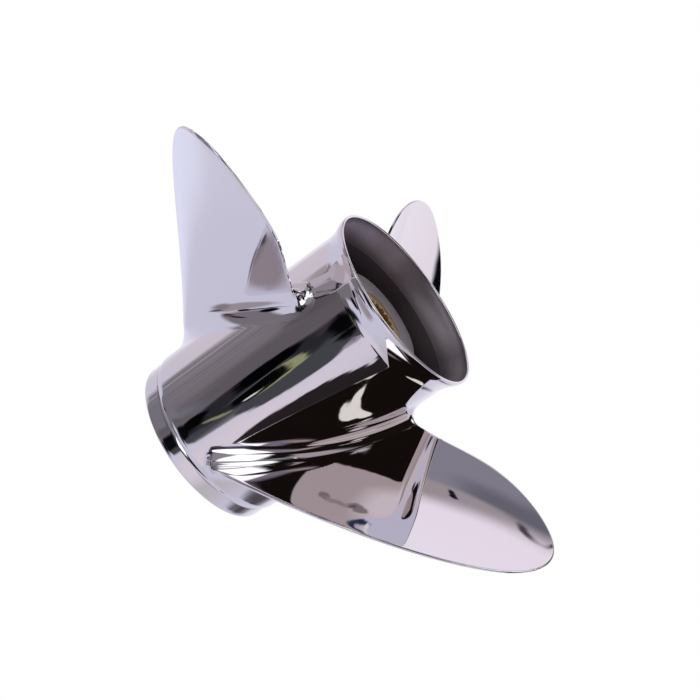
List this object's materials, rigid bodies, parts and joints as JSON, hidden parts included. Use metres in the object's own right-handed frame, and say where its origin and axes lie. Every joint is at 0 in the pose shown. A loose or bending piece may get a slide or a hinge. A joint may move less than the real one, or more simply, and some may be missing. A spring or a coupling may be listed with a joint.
{
  "type": "outboard motor propeller",
  "caption": "Right-hand skewed-blade outboard propeller with a flared through-hub exhaust barrel, ribbed inner hub, rubber bushing and splined brass sleeve.",
  "frame": {"origin": "on the shaft axis, in the plane of the hub's front end, on which the propeller stands", "axes": "+Z along the shaft, pointing aft, away from the gearcase; +Y through the root of the first blade"},
  "size_m": [0.3196, 0.3324, 0.1702],
  "materials": {
    "polished_stainless": "mirror-polished investment-cast stainless steel",
    "satin_cast_stainless": "blasted cast stainless steel, unpolished",
    "machined_brass": "turned and broached, dull",
    "bushing_rubber": "moulded matt black rubber"
  },
  "bodies": {
    "root": {"front_collar": "polished_stainless", "hub_barrel": "polished_stainless", "exhaust_flare": "polished_stainless", "blade_1": "polished_stainless", "blade_2": "polished_stainless", "blade_3": "polished_stainless", "inner_hub": "satin_cast_stainless", "rib_1": "satin_cast_stainless", "rib_2": "satin_cast_stainless", "rib_3": "satin_cast_stainless", "rubber_bushing": "bushing_rubber", "spline_sleeve": "machined_brass"}
  },
  "joints": []
}
